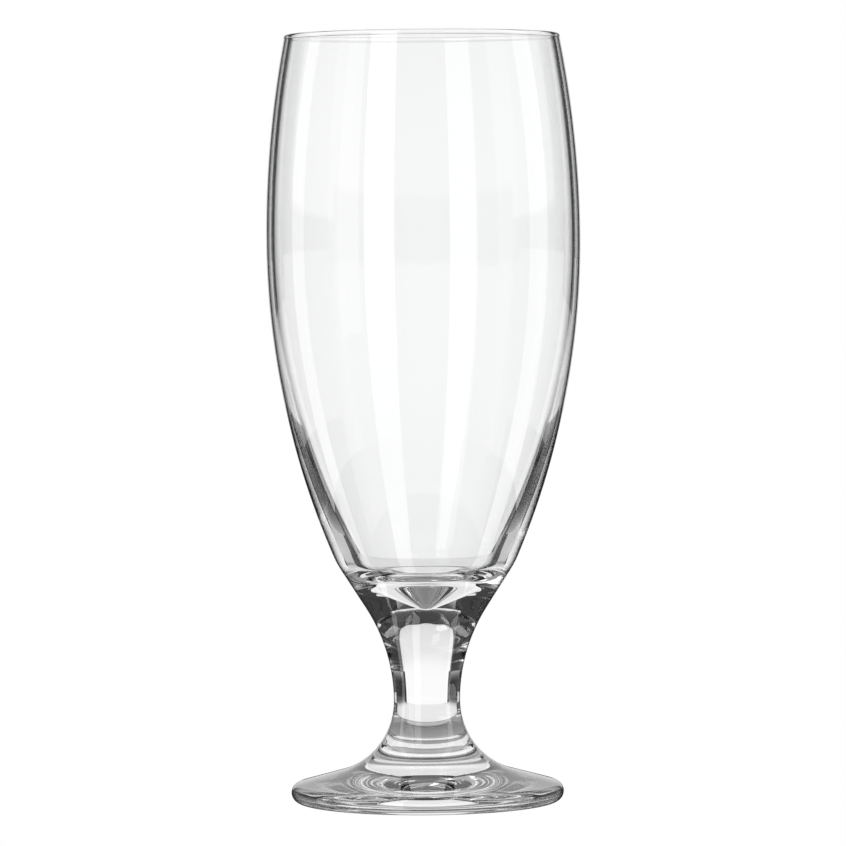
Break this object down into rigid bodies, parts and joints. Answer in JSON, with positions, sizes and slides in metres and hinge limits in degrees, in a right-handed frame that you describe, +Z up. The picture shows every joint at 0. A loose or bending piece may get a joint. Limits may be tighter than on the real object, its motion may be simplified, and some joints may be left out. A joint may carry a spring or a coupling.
{
  "type": "pilsner glass",
  "caption": "Clear footed beer glass: tall bellied bowl with a beaded rim and thick base, on a short waisted stem and a round sloped foot.",
  "frame": {"origin": "centre of the flat ring that the foot stands on, at table height", "axes": "+Z up along the axis that every piece is turned about; +X and +Y are any two level directions"},
  "size_m": [0.0778, 0.0778, 0.19],
  "materials": {
    "clear_glass": "polished clear soda-lime glass"
  },
  "bodies": {
    "root": {"bowl": "clear_glass", "stem": "clear_glass", "foot": "clear_glass"}
  },
  "joints": []
}
